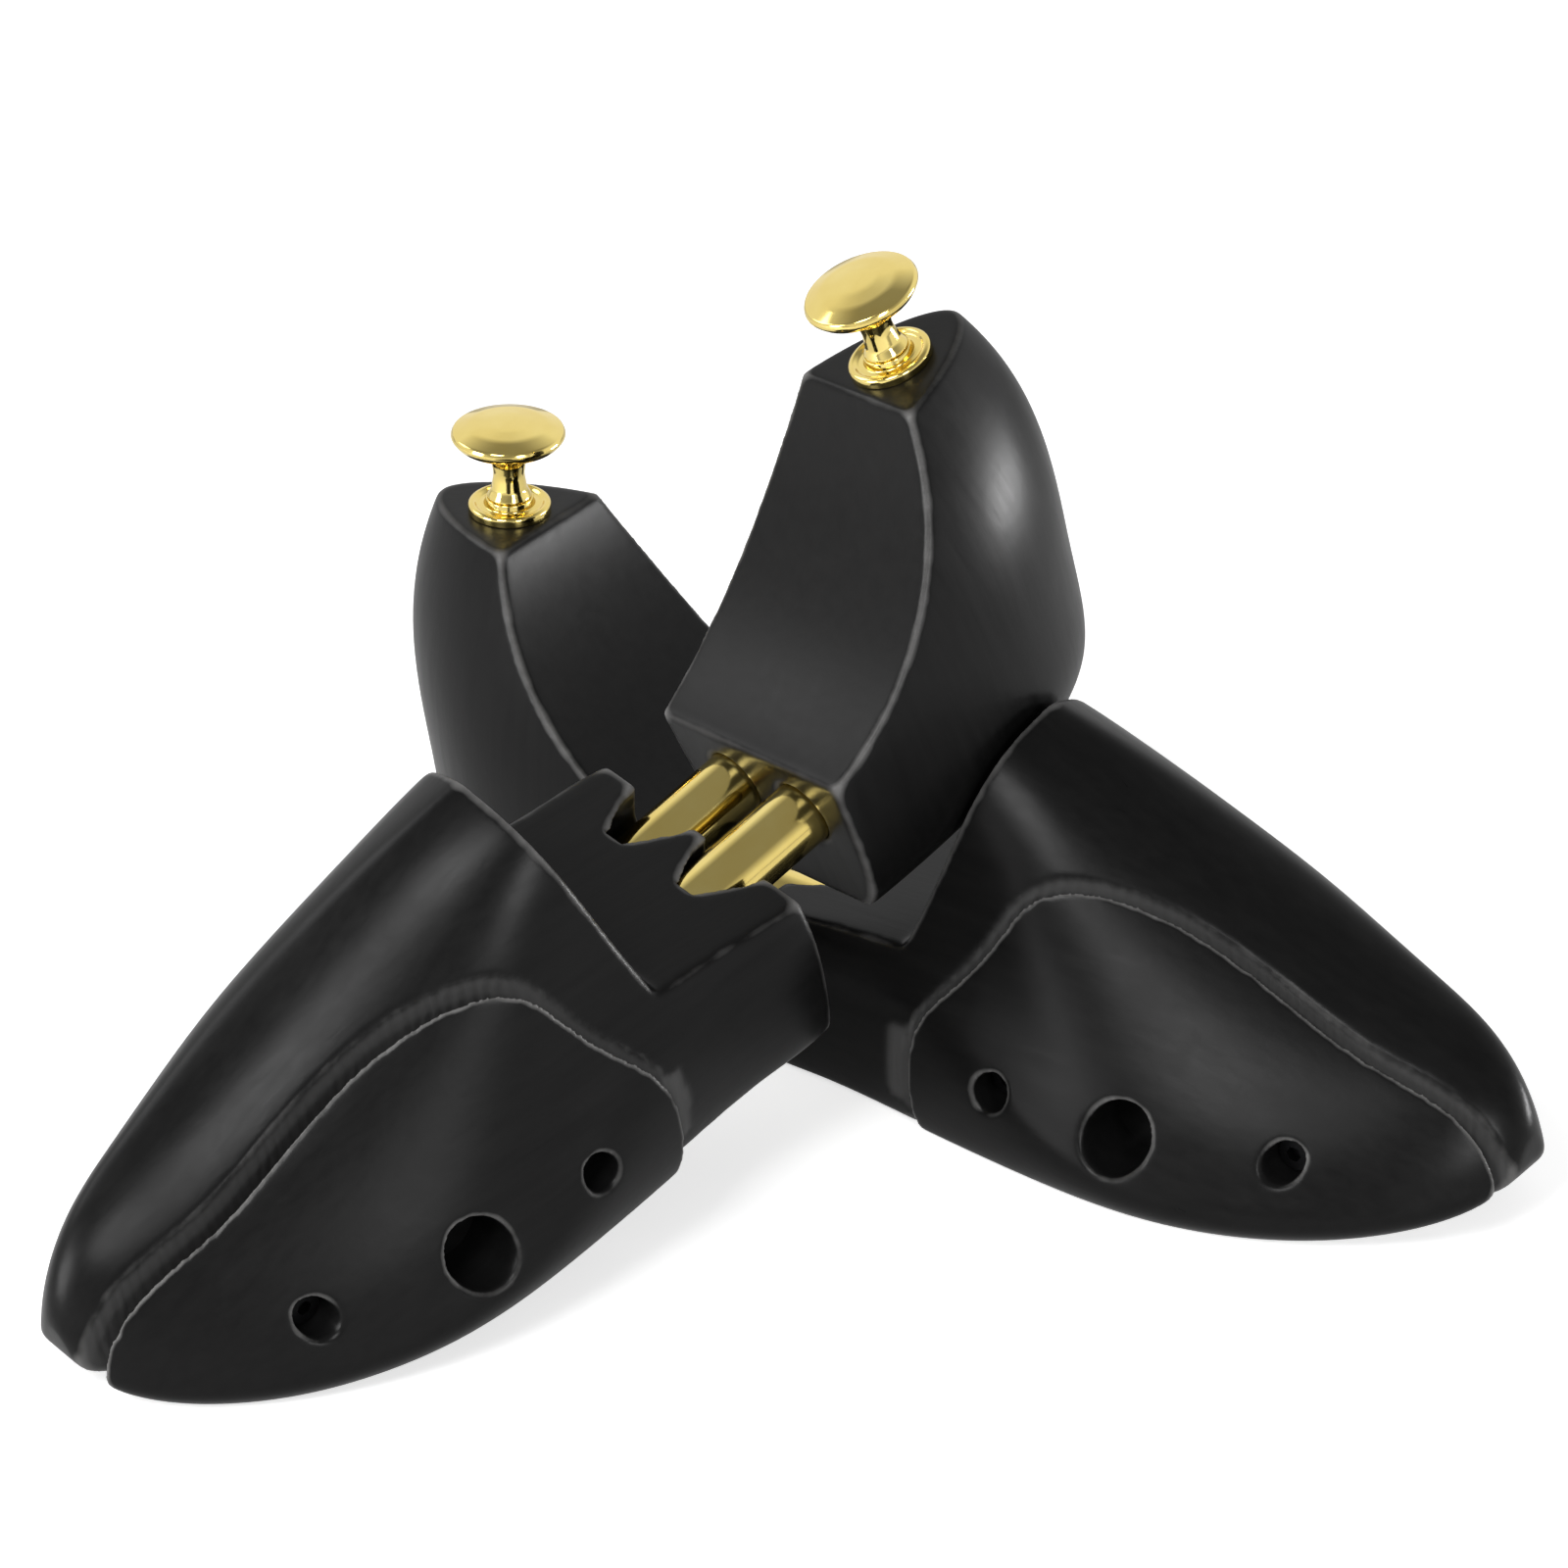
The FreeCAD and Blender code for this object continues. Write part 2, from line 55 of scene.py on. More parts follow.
# The camera, fitted to the photograph
camera_place = Vector((-25.4, -1372.28, 864.49)) * mm
camera_tilt_deg = 60.08
camera_turn_deg = -0.94
camera_sensor = 36.0
camera_lens = 177.03

# Wooden blocks: a fine mesh is smoothed until its edges are round, then a mesh of even squares is
# laid over it and smoothed a little
rounding_grain = 0.42 * mm
rounding_depth = 9
rounding_rounds = 26
block_grain = 0.76 * mm
heel_grain = 0.66 * mm
wing_grain = 0.5 * mm
sanding_rounds = 5
sanding_share = 0.5
edge_rounds = 8
# A face of the sole points down at least this far
sole_slope = -0.8

# Saw marks on the two walls of the cut that frees the wing, and how upright, how much turned
# towards the cut and how near to the other wall such a wall is
saw_spacing = 2.3 * mm
saw_depth = 0.2 * mm
saw_wander = 1.6
saw_upright = 0.16
saw_facing = 0.3
saw_reach = 6.5 * mm
saw_fade_rounds = 3

# Knob and rosette, in millimetres from the heel's top: radius, height, rounding
knob_outline = (
    (0.0, 3.4, 0.0), (5.1, 3.4, 0.5), (3.9, 5.6, 2.5), (3.35, 9.0, 6.0), (3.9, 12.6, 3.0),
    (7.4, 14.6, 5.0), (11.3, 16.7, 2.4), (12.5, 18.3, 1.2), (11.9, 19.5, 0.9), (8.4, 20.7, 8.0),
    (4.0, 21.3, 20.0), (0.0, 21.45, 0.0))
rosette_outline = (
    (2.6, 0.0, 0.0), (9.0, 0.0, 0.3), (9.0, 2.0, 1.0), (7.9, 2.5, 0.8), (6.9, 1.5, 0.9),
    (5.5, 1.7, 0.5), (5.1, 3.4, 0.3), (2.6, 3.4, 0.0))
round_steps = 112
fillet_steps = 8
# The share of an outline's line that the rounding at one of its ends may take
fillet_limit = 0.49
# Tubes, in millimetres
tube_wall = 0.9
tube_lip = 0.35
# Springs: turns, and outer and wire diameter in millimetres
heel_spring = (20, 9.4, 1.3)
wing_spring = (6, 10.4, 1.4)
spring_points = 28
wire_points = 10
# Points that are nearer than this are one point
loose_gap = 0.001 * mm
seam_gap = 0.002 * mm

# Stained wood: dark and pale grain lines; walls left from the saw, painted paler as painted light
# where the cut lies in shade; edges painted pale, partly as rubbed wear and partly as painted
# highlight
stain_dark, stain_pale = (0.003, 0.003, 0.0031), (0.0072, 0.0071, 0.007)
# Painted light: a pale grey laid over the sawn walls, which lie in shade inside the cut, and how
# far it covers the stain
sawn_wall_light_grey = (0.075, 0.0745, 0.074)
sawn_wall_light_cover = 0.8
sawn_roughness = 0.2
# Pale grey on rounded edges, with where it starts and is full on the edge mask and how much noise
# breaks it up: partly rubbed wear, partly painted highlight
rubbed_and_sheen_grey = (0.13, 0.128, 0.126)
rub_and_sheen_start, rub_and_sheen_full, rub_and_sheen_breakup = 0.035, 0.085, 0.03
satin_roughness = (0.27, 0.38)
satin_shine = 0.12
block_line = 1.1 * mm
heel_line = 1.3 * mm
grain_stretch = (0.06, 1.0, 0.75)
grain_share = 0.75
grain_bump, grain_bump_depth = 0.16, 0.2 * mm

# Metals: pale and deep colour, roughness where clean and where hazy, strength of the fine lines
polished_brass = ((0.83, 0.67, 0.235), (0.78, 0.6, 0.18), (0.07, 0.14), 0.04)
drawn_steel = ((0.34, 0.34, 0.35), (0.24, 0.24, 0.245), (0.28, 0.45), 0.12)
# Screws nearly black: partly a blackened steel finish, partly painted shade for the deep holes they
# sit in
shade_blackened_steel = ((0.02, 0.02, 0.021), (0.012, 0.012, 0.0125), (0.4, 0.55), 0.12)
metal_line_depth = 0.1 * mm
lathe_stretch = (0.05, 0.05, 1.0)
# The part of a noise's range that is spread over all of a finish's range
noise_low, noise_high = 0.3, 0.7

# The floor's half width and drop, its matt grey, its glow, and the share of it that metal mirrors
floor_half = 4.0
floor_drop = 0.2 * mm
floor_grey = (0.86, 0.86, 0.86, 1)
floor_glow = 0.6
floor_mirrored = 0.25
# The room that metal and lacquer mirror: where white goes over into dim, by height, with the white
# reaching higher behind the object, and the light that falls on everything else
white = (1, 1, 1, 1)
sweep_lean = 0.35
sweep_white_to, sweep_dim_from = 0.36, 0.75
sweep_dim = 0.3
room_fill = 0.3
# Lamps: place and aim, width and height in metres, power in watts
softboxes = {
    "right_strip": ((1.28, 0.33, 0.1), (0, 0, 0.1), 0.42, 0.19, 9.0),
    "right_front_softbox": ((0.5, -1.1, 0.56), (0, 0, 0.05), 0.3, 0.35, 5.0),
    "left_front_softbox": ((-1.15, -0.5, 0.36), (0, 0, 0.05), 0.45, 0.55, 9.0),
    "upper_left_softbox": ((-0.5, -0.85, 1.0), (0, 0, 0.04), 0.45, 0.45, 9.0),
    "left_back_softbox": ((-1.1, 0.42, 0.75), (0, 0, 0.06), 0.5, 0.5, 2.5),
}


# What the frame says

def array_of(items, name, width, kind=np.float32):
    """One property of all points or edges of a mesh, as an array with a row for each."""
    flat = np.empty(len(items) * width, kind)
    items.foreach_get(name, flat)
    return flat.reshape(-1, width)


def points_of(node):
    """A node's own points, as an array."""
    return array_of(nodes[node].data.vertices, "co", 3).astype(float)


def joint_of(name):
    return next(joint for joint in frame["joints"] if joint["name"] == name)


def tree_axes(side):
    """The toe's, the wing's and the instep's direction, from the wing's slide and the flat sole."""
    outward = Vector(joint_of(side + "_wing_slide")["axis"]).normalized()
    flats = {}
    for face in nodes[side + "_forefoot_block"].data.polygons:
        if face.normal.z < sole_slope:
            key = tuple(round(part, 2) for part in face.normal)
            flats[key] = flats.get(key, Vector()) + face.normal * face.area
    sole = max(flats.values(), key=lambda total: total.length)
    upward = -(sole - outward * sole.dot(outward)).normalized()
    towards_toe = -Vector(joint_of(side + "_heel_slide")["axis"])
    forward = outward.cross(upward)
    return forward if forward.dot(towards_toe) > 0 else -forward, outward, upward


def knob_axis(side):
    """The line that the knob is turned about: a point on the heel's top, and its direction."""
    stud = points_of(side + "_knob_stud")
    middle = stud.mean(0)
    along = Vector(np.linalg.svd(stud - middle, full_matrices=False)[2][0])
    along = along if along.z > 0 else -along
    rosette = points_of(side + "_knob_rosette")
    foot = ((rosette - middle) @ np.array(along)).min()
    return Vector(middle) + along * foot, along


def axis_matrix(place, along, beside=None):
    """A frame at a place whose z runs along an axis."""
    third = along.normalized()
    first = beside or third.orthogonal()
    first = (first - third * first.dot(third)).normalized()
    second = third.cross(first)
    turn = Matrix((first, second, third)).transposed()
    return Matrix.Translation(place) @ turn.to_4x4()


# Node trees

def put(tree, kind, inputs=None, **settings):
    """Adds a node to a tree. An input is a value, or a socket that is linked to it."""
    node = tree.nodes.new(kind)
    for name, value in settings.items():
        setattr(node, name, value)
    for key, value in (inputs or {}).items():
        if isinstance(value, bpy.types.NodeSocket):
            tree.links.new(value, node.inputs[key])
        else:
            node.inputs[key].default_value = value
    return node


def sockets(tree, **kinds):
    """Named sockets of a node group. A name that starts with out_ is an output."""
    made = {}
    for name, kind in kinds.items():
        outward = name.startswith("out_")
        label = name.removeprefix("out_").replace("_", " ")
        made[name] = tree.interface.new_socket(
            name=label, in_out="OUTPUT" if outward else "INPUT", socket_type="NodeSocket" + kind)
    return made


def math_node(tree, operation, *values):
    return put(tree, "ShaderNodeMath", dict(enumerate(values)), operation=operation).outputs[0]


def vector_node(tree, operation, inputs):
    return put(tree, "ShaderNodeVectorMath", inputs, operation=operation).outputs


def noise(tree, place, scale, detail, **more):
    inputs = {"Vector": place, "Scale": scale, "Detail": detail, **more}
    return put(tree, "ShaderNodeTexNoise", inputs).outputs["Fac"]


def spread(tree, value, low, high, to_low, to_high):
    """A value taken from one range to another, held inside it."""
    ends = {"From Min": low, "From Max": high, "To Min": to_low, "To Max": to_high}
    return put(tree, "ShaderNodeMapRange", {"Value": value, **ends}, clamp=True).outputs["Result"]


def blended(tree, share, first, second):
    """One colour going over into another."""
    node = put(tree, "ShaderNodeMix", {0: share}, data_type="RGBA")
    ends = [socket for socket in node.inputs if socket.type == "RGBA"]
    for socket, colour in zip(ends, (first, second)):
        if isinstance(colour, bpy.types.NodeSocket):
            tree.links.new(colour, socket)
        else:
            socket.default_value = (*colour, 1)
    return next(socket for socket in node.outputs if socket.type == "RGBA")


# Effects that several finishes share

def grain_group():
    """Fine grain lines and pores along the x of the place that it is given."""
    tree = bpy.data.node_groups.new("stained_grain", "ShaderNodeTree")
    sockets(tree, Place="Vector", Line_width="Float",
            out_Line="Float", out_Cloud="Float", out_Height="Float")
    given = put(tree, "NodeGroupInput").outputs
    stretched = vector_node(tree, "MULTIPLY", {0: given["Place"], 1: grain_stretch})[0]
    per_line = math_node(tree, "DIVIDE", 1.0, given["Line width"])
    scaled = vector_node(tree, "SCALE", {0: stretched, "Scale": per_line})[0]
    line = noise(tree, scaled, 0.55, 4.0, Roughness=0.6, Distortion=0.25)
    cloud = noise(tree, given["Place"], 26.0, 3.0, Roughness=0.5)
    pores = noise(tree, given["Place"], 900.0, 2.0)
    height = math_node(tree, "ADD", math_node(tree, "MULTIPLY", line, grain_share),
                       math_node(tree, "MULTIPLY", pores, 1 - grain_share))
    put(tree, "NodeGroupOutput", {"Line": line, "Cloud": cloud, "Height": height})
    return tree


def rub_and_sheen_group():
    """How pale an edge is painted, partly as rubbed wear and partly as painted highlight: the
    piece's own edge attribute, broken up by noise.
    """
    tree = bpy.data.node_groups.new("edge_rub_and_sheen", "ShaderNodeTree")
    sockets(tree, Place="Vector", Start="Float", Full="Float", Breakup="Float", out_Wear="Float")
    given = put(tree, "NodeGroupInput").outputs
    edge = put(tree, "ShaderNodeAttribute", attribute_name="edge").outputs["Fac"]
    centred = math_node(tree, "SUBTRACT", noise(tree, given["Place"], 140.0, 3.0), 0.5)
    shifted = math_node(tree, "ADD", edge, math_node(tree, "MULTIPLY", centred, given["Breakup"]))
    mask = spread(tree, shifted, given["Start"], given["Full"], 0.0, 1.0)
    put(tree, "NodeGroupOutput", {"Wear": mask})
    return tree


def smudge_group():
    """Soft patches of haze and fine rub lines, as handling leaves them on polished metal."""
    tree = bpy.data.node_groups.new("handling_haze", "ShaderNodeTree")
    sockets(tree, Place="Vector", out_Haze="Float", out_Lines="Float")
    given = put(tree, "NodeGroupInput").outputs
    haze = noise(tree, given["Place"], 95.0, 4.0, Roughness=0.55)
    around = vector_node(tree, "MULTIPLY", {0: given["Place"], 1: lathe_stretch})[0]
    lines = noise(tree, around, 2600.0, 2.0)
    put(tree, "NodeGroupOutput", {"Haze": haze, "Lines": lines})
    return tree


grain, rub_and_sheen, smudge = grain_group(), rub_and_sheen_group(), smudge_group()


# Finishes

def start_material(name, place, turn):
    """A material with its shader, and a place measured along the piece's own directions."""
    material = bpy.data.materials.new(name)
    material.use_nodes = True
    tree = material.node_tree
    shader = next(node for node in tree.nodes if node.type == "BSDF_PRINCIPLED")
    own = put(tree, "ShaderNodeTexCoord").outputs["Object"]
    mapping = put(tree, "ShaderNodeMapping",
                  {"Vector": own, "Location": place, "Rotation": turn.to_euler()},
                  vector_type="TEXTURE")
    return material, tree, shader, mapping.outputs["Vector"]


def group_node(tree, group, inputs):
    return put(tree, "ShaderNodeGroup", inputs, node_tree=group).outputs


def add_bump(tree, shader, height, strength, depth):
    bump = put(tree, "ShaderNodeBump",
               {"Height": height, "Strength": strength, "Distance": depth})
    tree.links.new(bump.outputs["Normal"], shader.inputs["Normal"])


def stained_wood(name, place, turn, line_width):
    """Black-stained wood under a thin satin lacquer, painted paler on its sawn walls as painted
    light, and on its edges partly as rubbed wear and partly as painted highlight.
    """
    material, tree, shader, own = start_material(name, place, turn)
    fibres = group_node(tree, grain, {"Place": own, "Line width": line_width})
    rubbed_and_sheen = group_node(tree, rub_and_sheen, {"Place": own, "Start": rub_and_sheen_start, "Full": rub_and_sheen_full,
                                     "Breakup": rub_and_sheen_breakup})["Wear"]
    sawn = put(tree, "ShaderNodeAttribute", attribute_name="sawn").outputs["Fac"]
    stain = blended(tree, fibres["Line"], stain_dark, stain_pale)
    # Painted light: the sawn walls in the shaded cut go pale grey
    stain_and_cut_light = blended(tree, math_node(tree, "MULTIPLY", sawn, sawn_wall_light_cover), stain, sawn_wall_light_grey)
    # Painted pale edges: partly rubbed wear, partly painted highlight
    colour = blended(tree, rubbed_and_sheen, stain_and_cut_light, rubbed_and_sheen_grey)
    tree.links.new(colour, shader.inputs["Base Color"])
    patchy = math_node(tree, "MULTIPLY",
                       math_node(tree, "ADD", fibres["Line"], fibres["Cloud"]), 0.5)
    rough = math_node(tree, "ADD", spread(tree, patchy, noise_low, noise_high, *satin_roughness),
                      math_node(tree, "MULTIPLY", sawn, sawn_roughness))
    tree.links.new(rough, shader.inputs["Roughness"])
    add_bump(tree, shader, fibres["Height"], grain_bump, grain_bump_depth)
    shader.inputs["Specular IOR Level"].default_value = satin_shine
    return material


def bare_metal(name, place, turn, look):
    """Metal with the haze of handling and fine lines from the lathe or the drawing die."""
    pale, deep, roughness, line_strength = look
    material, tree, shader, own = start_material(name, place, turn)
    marks = group_node(tree, smudge, {"Place": own})
    patch = spread(tree, marks["Haze"], noise_low, noise_high, 0.0, 1.0)
    tree.links.new(blended(tree, patch, pale, deep), shader.inputs["Base Color"])
    rough = spread(tree, marks["Haze"], noise_low, noise_high, *roughness)
    tree.links.new(rough, shader.inputs["Roughness"])
    add_bump(tree, shader, marks["Lines"], line_strength, metal_line_depth)
    shader.inputs["Metallic"].default_value = 1.0
    return material


# Shapes made by Geometry Nodes

def saw_marks_tree():
    """Pushes a masked wall in along lines that run across the cut, with a little wander."""
    tree = bpy.data.node_groups.new("saw_marks", "GeometryNodeTree")
    made = sockets(tree, Geometry="Geometry", Forward="Vector", Spacing="Float", Depth="Float",
                   out_Geometry="Geometry")
    given = put(tree, "NodeGroupInput").outputs
    mask = put(tree, "GeometryNodeInputNamedAttribute", {"Name": "sawn"},
               data_type="FLOAT").outputs["Attribute"]
    place = put(tree, "GeometryNodeInputPosition").outputs[0]
    along = vector_node(tree, "DOT_PRODUCT", {0: place, 1: given["Forward"]})["Value"]
    wander = math_node(tree, "MULTIPLY", noise(tree, place, 120.0, 2.0), saw_wander)
    turns = math_node(tree, "ADD", math_node(tree, "DIVIDE", along, given["Spacing"]), wander)
    wave = math_node(tree, "SINE", math_node(tree, "MULTIPLY", turns, 2 * math.pi))
    # Noise is about a half, so that twice the noise is about one
    uneven = math_node(tree, "MULTIPLY", noise(tree, place, 70.0, 1.0), 2.0)
    masked = math_node(tree, "MULTIPLY", given["Depth"], mask)
    depth = math_node(tree, "MULTIPLY", masked, uneven)
    # From nought on a line's crest to minus one at its bottom
    inward = math_node(tree, "SUBTRACT", math_node(tree, "MULTIPLY", wave, 0.5), 0.5)
    push = math_node(tree, "MULTIPLY", depth, inward)
    normal = put(tree, "GeometryNodeInputNormal").outputs[0]
    offset = vector_node(tree, "SCALE", {0: normal, "Scale": push})[0]
    moved = put(tree, "GeometryNodeSetPosition", {"Geometry": given["Geometry"], "Offset": offset})
    put(tree, "NodeGroupOutput", {"Geometry": moved.outputs[0]})
    return tree, made


def end_tree(tree, geometry, finish):
    """Gives the geometry its finish, makes it real and hands it out."""
    painted = put(tree, "GeometryNodeSetMaterial", {"Geometry": geometry, "Material": finish})
    whole = put(tree, "GeometryNodeRealizeInstances", {"Geometry": painted.outputs[0]})
    put(tree, "NodeGroupOutput", {"Geometry": whole.outputs[0]})


def turned_tree():
    """Turns an outline of points about z: the outline's x is the radius, its z the height."""
    tree = bpy.data.node_groups.new("turned_piece", "GeometryNodeTree")
    made = sockets(tree, Geometry="Geometry", Steps="Int", Finish="Material",
                   out_Geometry="Geometry")
    given = put(tree, "NodeGroupInput").outputs
    count = put(tree, "GeometryNodeAttributeDomainSize", {"Geometry": given["Geometry"]},
                component="CURVE").outputs["Point Count"]
    around = math_node(tree, "ADD", given["Steps"], 1.0)
    grid = put(tree, "GeometryNodeMeshGrid", {"Vertices X": around, "Vertices Y": count})
    index = put(tree, "GeometryNodeInputIndex").outputs[0]
    row = math_node(tree, "MODULO", index, count)
    # Half a point more keeps a column's first point from being rounded into the column before
    safe_index = math_node(tree, "ADD", index, 0.5)
    column = math_node(tree, "FLOOR", math_node(tree, "DIVIDE", safe_index, count))
    turn = math_node(tree, "DIVIDE", column, given["Steps"])
    angle = math_node(tree, "MULTIPLY", turn, 2 * math.pi)
    place = put(tree, "GeometryNodeInputPosition").outputs[0]
    outline = put(tree, "GeometryNodeSampleIndex", {"Geometry": given["Geometry"], "Index": row},
                  data_type="FLOAT_VECTOR", domain="POINT")
    values = (socket for socket in outline.inputs if socket.name == "Value" and socket.enabled)
    tree.links.new(place, next(values))
    parts = put(tree, "ShaderNodeSeparateXYZ", {0: outline.outputs[0]}).outputs
    ring = put(tree, "ShaderNodeCombineXYZ", {
        "X": math_node(tree, "MULTIPLY", parts["X"], math_node(tree, "COSINE", angle)),
        "Y": math_node(tree, "MULTIPLY", parts["X"], math_node(tree, "SINE", angle)),
        "Z": parts["Z"]}).outputs[0]
    moved = put(tree, "GeometryNodeSetPosition",
                {"Geometry": grid.outputs["Mesh"], "Position": ring}).outputs[0]
    closed = put(tree, "GeometryNodeMergeByDistance", {"Geometry": moved, "Distance": seam_gap})
    end_tree(tree, closed.outputs[0], given["Finish"])
    return tree, made


def coil_tree():
    """A round wire wound about z."""
    tree = bpy.data.node_groups.new("coil_spring", "GeometryNodeTree")
    made = sockets(tree, Geometry="Geometry", Turns="Float", Radius="Float", Rise="Float",
                   Wire="Float", Finish="Material", out_Geometry="Geometry")
    given = put(tree, "NodeGroupInput").outputs
    path = put(tree, "GeometryNodeCurveSpiral", {
        "Resolution": spring_points, "Rotations": given["Turns"], "Start Radius": given["Radius"],
        "End Radius": given["Radius"], "Height": given["Rise"]}).outputs[0]
    ring = put(tree, "GeometryNodeCurvePrimitiveCircle",
               {"Resolution": wire_points, "Radius": given["Wire"]}).outputs["Curve"]
    wound = put(tree, "GeometryNodeCurveToMesh",
                {"Curve": path, "Profile Curve": ring, "Fill Caps": True}).outputs[0]
    end_tree(tree, wound, given["Finish"])
    return tree, made


saw_marks, turned, coil = saw_marks_tree(), turned_tree(), coil_tree()


def worked(piece, tool=None, **inputs):
    """The piece's mesh after its modifiers and, if given, a Geometry Nodes tool. The piece goes."""
    if tool:
        tree, made = tool
        modifier = piece.modifiers.new("tool", "NODES")
        modifier.node_group = tree
        for name, value in inputs.items():
            modifier[made[name].identifier] = value
    scene.collection.objects.link(piece)
    bpy.context.view_layer.update()
    depsgraph = bpy.context.evaluated_depsgraph_get()
    mesh = bpy.data.meshes.new_from_object(piece.evaluated_get(depsgraph), depsgraph=depsgraph)
    name = piece.name
    bpy.data.objects.remove(piece)
    mesh.name = name
    return mesh


def finish(mesh, material):
    mesh.materials.clear()
    mesh.materials.append(material)


def shown(name, mesh, material, body, slot, *replaced):
    """A finished piece that rides on a body and stands for CAD nodes."""
    piece = bpy.data.objects.new(name, mesh)
    scene.collection.objects.link(piece)
    mesh.polygons.foreach_set("use_smooth", np.ones(len(mesh.polygons), bool))
    finish(mesh, material)
    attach(piece, body)
    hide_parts(*replaced)
    return piece


# Turned, drawn and wound pieces

def outline_points(corners):
    """Points along an outline whose corners are rounded by curves of their own size."""
    points = []
    for index, (radius, height, rounding) in enumerate(corners):
        here = Vector((radius, 0, height))
        if rounding == 0 or index in (0, len(corners) - 1):
            points.append(here)
            continue
        before = Vector((corners[index - 1][0], 0, corners[index - 1][1])) - here
        after = Vector((corners[index + 1][0], 0, corners[index + 1][1])) - here
        half = before.angle(after) / 2
        reach = min(rounding / math.tan(half), before.length * fillet_limit,
                    after.length * fillet_limit)
        start, end = here + before.normalized() * reach, here + after.normalized() * reach
        for step in range(fillet_steps + 1):
            share = step / fillet_steps
            rest = 1 - share
            points.append(start * rest ** 2 + here * 2 * share * rest + end * share ** 2)
    return [point * mm for point in points]


def outline_curve(name, points):
    curve = bpy.data.curves.new(name, "CURVE")
    curve.dimensions = "3D"
    spline = curve.splines.new("POLY")
    spline.points.add(len(points) - 1)
    for slot, place in zip(spline.points, points):
        slot.co = (*place, 1)
    return bpy.data.objects.new(name, curve)


def outward_facing(mesh):
    """Turns every face of a closed mesh outwards."""
    work = bmesh.new()
    work.from_mesh(mesh)
    bmesh.ops.recalc_face_normals(work, faces=work.faces)
    work.to_mesh(mesh)
    work.free()
    return mesh


def turned_piece(name, corners, material, matrix, body, node):
    outline = outline_curve(name, outline_points(corners))
    mesh = worked(outline, turned, Steps=round_steps, Finish=material)
    mesh.transform(matrix)
    shown(name, outward_facing(mesh), material, body, "brass", node)


def reach_along(points, axis):
    """How far each point lies along an axis, from the middle of all the points."""
    return (points - points.mean(0)) @ np.array(axis)


def drawn_tube(node, axis, material, body):
    """An open tube with rounded lips, in the place of its node."""
    points = points_of(node)
    reach = reach_along(points, axis)
    aside = points - points.mean(0) - np.outer(reach, np.array(axis))
    radius = np.linalg.norm(aside, axis=1).max() / mm
    low, high = reach.min() / mm, reach.max() / mm
    bore = radius - tube_wall
    wall = ((bore, low, tube_lip), (radius, low, tube_lip),
            (radius, high, tube_lip), (bore, high, tube_lip))
    seam = ((bore, (low + high) / 2, 0),)
    turned_piece(node + "_drawn", seam + wall + seam, material,
                 axis_matrix(Vector(points.mean(0)), axis), body, node)


def wound_spring(node, axis, beside, make, material, body):
    """A coil in the place of its node, riding on the body that it is given."""
    turns, diameter, wire = make
    points = points_of(node)
    middle = Vector(points.mean(0))
    reach = reach_along(points, axis)
    length = reach.max() - reach.min() - wire * mm
    low, high = middle + axis * (reach.min() + wire * mm / 2), middle + axis * reach.max()
    empty = bpy.data.objects.new(node + "_coil", bpy.data.meshes.new(node + "_coil"))
    mesh = worked(empty, coil, Turns=float(turns), Radius=diameter / 2 * mm, Rise=length,
                  Wire=wire / 2 * mm, Finish=material)
    mesh.transform(axis_matrix(low, axis, beside))
    piece = shown(node + "_coil", outward_facing(mesh), material, body, "steel", node)
    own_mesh(piece)


# Wooden pieces

def merged_copy(node):
    """A copy of a node's mesh with its loose triangles joined."""
    mesh = nodes[node].data.copy()
    work = bmesh.new()
    work.from_mesh(mesh)
    bmesh.ops.remove_doubles(work, verts=work.verts, dist=loose_gap)
    work.to_mesh(mesh)
    work.free()
    return mesh


def sanded(node, turn, size):
    """A closed mesh of even squares of a wooden node, its edges rounded over.

    It is worked along the tree's own directions, so that flat faces stay flat.
    """
    mesh = merged_copy(node)
    mesh.transform(turn.transposed().to_4x4())
    for mode, rounds in (("SHARP", rounding_rounds), ("VOXEL", sanding_rounds)):
        piece = bpy.data.objects.new(node + "_work", mesh)
        even = piece.modifiers.new("even", "REMESH")
        even.mode = mode
        even.voxel_size = size
        even.octree_depth = rounding_depth
        even.scale = max(piece.dimensions) / rounding_grain / 2 ** rounding_depth
        even.use_remove_disconnected = False
        smooth = piece.modifiers.new("sanded", "SMOOTH")
        smooth.factor = sanding_share
        smooth.iterations = rounds
        mesh = worked(piece)
    mesh.transform(turn.to_4x4())
    return mesh


def neighbour_mean(values, pairs):
    """The mean of each point's neighbours along the mesh's edges."""
    total = np.zeros_like(values)
    number = np.zeros(len(values))
    for first, second in (pairs.T, pairs.T[::-1]):
        np.add.at(total, first, values[second])
        np.add.at(number, first, 1)
    return total / np.maximum(number, 1).reshape((-1,) + (1,) * (values.ndim - 1))


def write_softened(mesh, name, values, pairs, rounds):
    """Writes a value for each point as an attribute, evened out along the edges."""
    for _ in range(rounds):
        values = (values + neighbour_mean(values, pairs)) / 2
    layer = mesh.attributes.new(name, "FLOAT", "POINT")
    layer.data.foreach_set("value", values.astype(np.float32))


def mark_edges(mesh, size):
    """Writes how far each point stands out from its neighbours: much, along rounded edges."""
    points = array_of(mesh.vertices, "co", 3).astype(float)
    normals = array_of(mesh.vertex_normals, "vector", 3)
    pairs = array_of(mesh.edges, "vertices", 2, np.int32)
    proud = ((points - neighbour_mean(points, pairs)) * normals).sum(1) / size
    write_softened(mesh, "edge", proud, pairs, edge_rounds)


